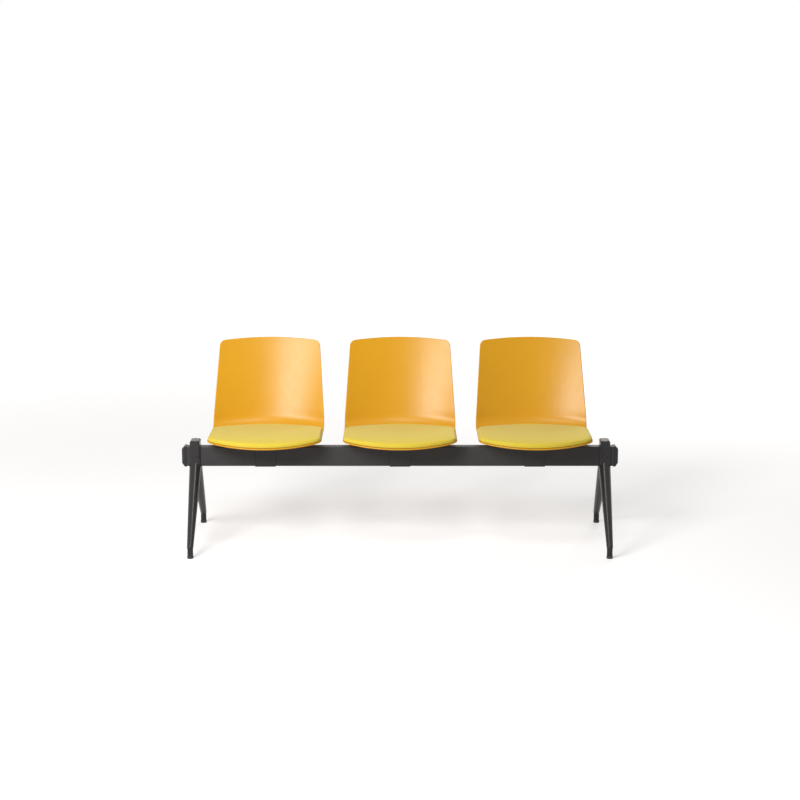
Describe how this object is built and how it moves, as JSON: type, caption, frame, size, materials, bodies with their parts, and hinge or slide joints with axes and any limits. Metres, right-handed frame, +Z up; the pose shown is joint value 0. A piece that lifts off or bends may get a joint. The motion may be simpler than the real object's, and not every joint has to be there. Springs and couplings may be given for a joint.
{
  "type": "beam seating",
  "caption": "free-standing beam bench: moulded shells with upholstered seat pads on a rectangular steel beam, clamped in A-shaped leg frames with levelling feet",
  "frame": {"origin": "on the floor, under the middle of the bench's outline", "axes": "+X along the beam to the right as seen from the front, +Y to the rear, +Z up"},
  "size_m": [1.75, 0.7035, 0.7655],
  "materials": {
    "beam_paint": "satin powder coat, anthracite",
    "cap_plastic": "satin black",
    "leg_paint": "satin powder coat on a casting, anthracite",
    "strap_paint": "satin powder coat, anthracite",
    "screw_steel": "zinc plated",
    "plug_plastic": "matte",
    "foot_plastic": "matte black",
    "insert_brass": "turned",
    "shell_plastic": "satin, amber",
    "board_wood": "raw plywood",
    "pad_fabric": "woven, yellow"
  },
  "bodies": {
    "bench": {"beam_tube": "beam_paint", "end_cap_left": "cap_plastic", "leg_frame_left": "leg_paint", "clamp_cap_left": "leg_paint", "clamp_screws_left": "screw_steel", "clamp_plugs_left": "plug_plastic", "glide_insert_left_front": "insert_brass", "glide_insert_left_rear": "insert_brass", "end_cap_right": "cap_plastic", "leg_frame_right": "leg_paint", "clamp_cap_right": "leg_paint", "clamp_screws_right": "screw_steel", "clamp_plugs_right": "plug_plastic", "glide_insert_right_front": "insert_brass", "glide_insert_right_rear": "insert_brass", "beam_strap_left": "strap_paint", "seat_support_left": "strap_paint", "strap_screws_left": "screw_steel", "strap_nuts_left": "screw_steel", "shell_screws_left": "screw_steel", "boss_inserts_left": "insert_brass", "seat_shell_left": "shell_plastic", "pad_board_left": "board_wood", "seat_pad_left": "pad_fabric", "pad_screws_left": "screw_steel", "beam_strap_middle": "strap_paint", "seat_support_middle": "strap_paint", "strap_screws_middle": "screw_steel", "strap_nuts_middle": "screw_steel", "shell_screws_middle": "screw_steel", "boss_inserts_middle": "insert_brass", "seat_shell_middle": "shell_plastic", "pad_board_middle": "board_wood", "seat_pad_middle": "pad_fabric", "pad_screws_middle": "screw_steel", "beam_strap_right": "strap_paint", "seat_support_right": "strap_paint", "strap_screws_right": "screw_steel", "strap_nuts_right": "screw_steel", "shell_screws_right": "screw_steel", "boss_inserts_right": "insert_brass", "seat_shell_right": "shell_plastic", "pad_board_right": "board_wood", "seat_pad_right": "pad_fabric", "pad_screws_right": "screw_steel"},
    "foot_left_front": {"glide_foot_left_front": "foot_plastic"},
    "stem_left_front": {"glide_stem_left_front": "screw_steel"},
    "foot_left_rear": {"glide_foot_left_rear": "foot_plastic"},
    "stem_left_rear": {"glide_stem_left_rear": "screw_steel"},
    "foot_right_front": {"glide_foot_right_front": "foot_plastic"},
    "stem_right_front": {"glide_stem_right_front": "screw_steel"},
    "foot_right_rear": {"glide_foot_right_rear": "foot_plastic"},
    "stem_right_rear": {"glide_stem_right_rear": "screw_steel"}
  },
  "joints": [
    {"name": "foot_left_front_out", "type": "slide", "parent": "bench", "child": "foot_left_front", "axis": [0, 0, -1], "range_m": [0, 0.012]},
    {"name": "stem_left_front_turn", "type": "hinge", "parent": "foot_left_front", "child": "stem_left_front", "pos_m": [-0.821, -0.33895, 0.011], "axis": [0, 0, 1], "range_deg": [0, 2881]},
    {"name": "foot_left_rear_out", "type": "slide", "parent": "bench", "child": "foot_left_rear", "axis": [0, 0, -1], "range_m": [0, 0.012]},
    {"name": "stem_left_rear_turn", "type": "hinge", "parent": "foot_left_rear", "child": "stem_left_rear", "pos_m": [-0.821, 0.22105, 0.011], "axis": [0, 0, 1], "range_deg": [0, 2881]},
    {"name": "foot_right_front_out", "type": "slide", "parent": "bench", "child": "foot_right_front", "axis": [0, 0, -1], "range_m": [0, 0.012]},
    {"name": "stem_right_front_turn", "type": "hinge", "parent": "foot_right_front", "child": "stem_right_front", "pos_m": [0.821, -0.33895, 0.011], "axis": [0, 0, 1], "range_deg": [0, 2881]},
    {"name": "foot_right_rear_out", "type": "slide", "parent": "bench", "child": "foot_right_rear", "axis": [0, 0, -1], "range_m": [0, 0.012]},
    {"name": "stem_right_rear_turn", "type": "hinge", "parent": "foot_right_rear", "child": "stem_right_rear", "pos_m": [0.821, 0.22105, 0.011], "axis": [0, 0, 1], "range_deg": [0, 2881]}
  ],
  "couplings": [
    {"joint": "stem_left_front_turn", "follows": "foot_left_front_out", "rad_per_m": 4188.8},
    {"joint": "stem_left_rear_turn", "follows": "foot_left_rear_out", "rad_per_m": 4188.8},
    {"joint": "stem_right_front_turn", "follows": "foot_right_front_out", "rad_per_m": 4188.8},
    {"joint": "stem_right_rear_turn", "follows": "foot_right_rear_out", "rad_per_m": 4188.8}
  ]
}
